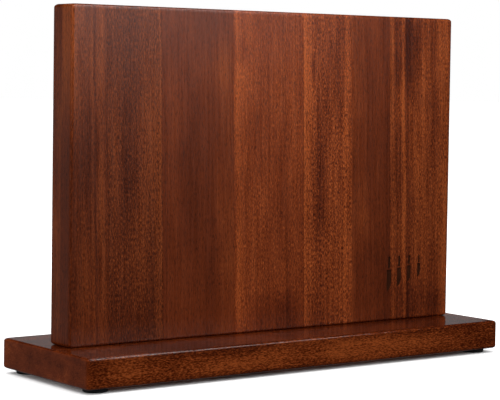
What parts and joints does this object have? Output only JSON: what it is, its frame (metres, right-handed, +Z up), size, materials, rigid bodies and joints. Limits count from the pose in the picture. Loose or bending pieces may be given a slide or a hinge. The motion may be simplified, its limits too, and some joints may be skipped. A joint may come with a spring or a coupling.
{
  "type": "magnetic knife rack",
  "caption": "Free-standing double-sided magnetic knife rack: an upright staved wooden panel with hidden disc magnets, bolted to a wooden base on rubber feet.",
  "frame": {"origin": "on the table top, under the middle of the base", "axes": "+X along the panel's width towards its right end, +Y from the front face with the engraved mark to the back face, +Z up"},
  "size_m": [0.348, 0.107, 0.242],
  "materials": {
    "panel_wood": "dark red-brown mahogany staves under semi-gloss lacquer",
    "base_wood": "dark red-brown mahogany board under semi-gloss lacquer",
    "dowel_wood": "plain beech",
    "magnet_plating": "bright nickel plating",
    "insert_brass": "turned",
    "screw_steel": "black oxide",
    "washer_steel": "zinc plated",
    "foot_rubber": "matt",
    "adhesive": "double-sided tape"
  },
  "bodies": {
    "root": {"front_stave_1": "panel_wood", "front_stave_2": "panel_wood", "front_stave_3": "panel_wood", "front_stave_4": "panel_wood", "front_stave_5": "panel_wood", "front_stave_6": "panel_wood", "front_stave_7": "panel_wood", "back_stave_1": "panel_wood", "back_stave_2": "panel_wood", "back_stave_3": "panel_wood", "back_stave_4": "panel_wood", "back_stave_5": "panel_wood", "back_stave_6": "panel_wood", "base_board": "base_wood", "front_magnets_top": "magnet_plating", "front_magnets_middle": "magnet_plating", "front_magnets_bottom": "magnet_plating", "back_magnets_top": "magnet_plating", "back_magnets_middle": "magnet_plating", "back_magnets_bottom": "magnet_plating", "threaded_inserts": "insert_brass", "socket_screws": "screw_steel", "washers": "washer_steel", "dowels": "dowel_wood", "adhesive_discs": "adhesive", "foot_front_left": "foot_rubber", "foot_front_right": "foot_rubber", "foot_back_left": "foot_rubber", "foot_back_right": "foot_rubber"}
  },
  "joints": []
}
